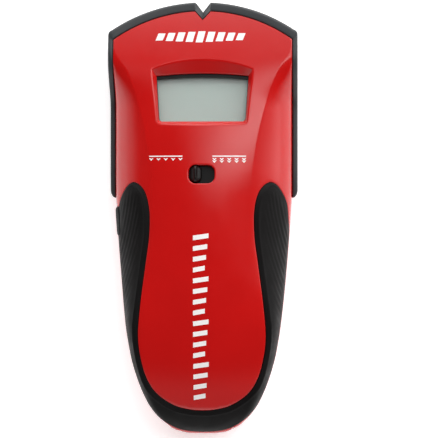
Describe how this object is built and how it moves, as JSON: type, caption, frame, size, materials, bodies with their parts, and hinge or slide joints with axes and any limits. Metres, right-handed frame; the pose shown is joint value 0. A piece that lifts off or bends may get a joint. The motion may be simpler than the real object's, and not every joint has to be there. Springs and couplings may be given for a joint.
{
  "type": "stud finder",
  "caption": "Hand-held electronic stud finder with a display, a scan mode slider, a rubber bumper with a marking notch and a rubber grip.",
  "frame": {"origin": "middle of the tool's outline, on the plane of the wall or table that it lies on", "axes": "+X to the user's right, +Y towards the sensing head, +Z out of the display face"},
  "size_m": [0.0778, 0.178, 0.034],
  "materials": {
    "shell_red": "gloss",
    "bumper_rubber": "satin",
    "grip_rubber": "satin",
    "black_plastic": "satin",
    "lens_clear": "polished",
    "lcd_grey": "gloss",
    "white_plastic": "satin",
    "wire_red": "satin",
    "board_green": "satin",
    "chip_black": "matte",
    "foam": "matte",
    "felt": "matte",
    "steel": "satin",
    "brass": "satin",
    "copper": "satin",
    "battery_wrap": "gloss"
  },
  "bodies": {
    "body": {"front_housing": "shell_red", "rear_housing": "shell_red", "head_bumper": "bumper_rubber", "grip_overmould": "grip_rubber", "display_lens": "lens_clear", "pointer_light_pipe": "lens_clear", "lcd_panel": "lcd_grey", "lcd_holder": "white_plastic", "display_gasket": "black_plastic", "elastomer_strip_upper": "foam", "elastomer_strip_lower": "foam", "battery_foam": "foam", "display_board": "board_green", "sensor_board": "board_green", "controller_chip": "chip_black", "sensor_chip": "chip_black", "power_switch_body": "chip_black", "quartz_crystal": "steel", "mode_switch_body": "steel", "reservoir_capacitor": "black_plastic", "battery_snap": "black_plastic", "lead_negative": "black_plastic", "lead_positive": "wire_red", "pointer_led": "white_plastic", "sensor_ribbon_socket": "white_plastic", "display_ribbon_socket": "white_plastic", "ribbon_cable": "white_plastic", "battery": "battery_wrap", "battery_terminal_positive": "brass", "battery_terminal_negative": "brass", "buzzer_disc": "brass", "sensor_plate_left": "copper", "sensor_plate_centre": "copper", "sensor_plate_right": "copper", "glide_pad_upper_left": "felt", "glide_pad_upper_right": "felt", "glide_pad_lower_left": "felt", "glide_pad_lower_right": "felt", "display_board_screw_1": "steel", "display_board_screw_2": "steel", "display_board_screw_3": "steel", "display_board_screw_4": "steel", "sensor_board_screw_1": "steel", "sensor_board_screw_2": "steel", "housing_screw_1": "steel", "housing_screw_2": "steel", "housing_screw_3": "steel", "housing_screw_4": "steel", "housing_screw_5": "steel"},
    "mode_slider": {"mode_slider": "black_plastic", "mode_switch_lever": "white_plastic"},
    "power_button": {"power_button": "grip_rubber", "power_switch_plunger": "white_plastic"},
    "battery_door": {"battery_door": "shell_red"}
  },
  "joints": [
    {"name": "mode_slide", "type": "slide", "parent": "body", "child": "mode_slider", "axis": [1, 0, 0], "range_m": [0, 0.005]},
    {"name": "power_press", "type": "slide", "parent": "body", "child": "power_button", "axis": [1, 0, 0], "range_m": [0, 0.0009], "stiffness_N_per_m": 400, "springref_m": -0.0005},
    {"name": "battery_door_hinge", "type": "hinge", "parent": "body", "child": "battery_door", "pos_m": [0, -0.017, 0.0006], "axis": [1, 0, 0], "range_deg": [0, 75]}
  ]
}
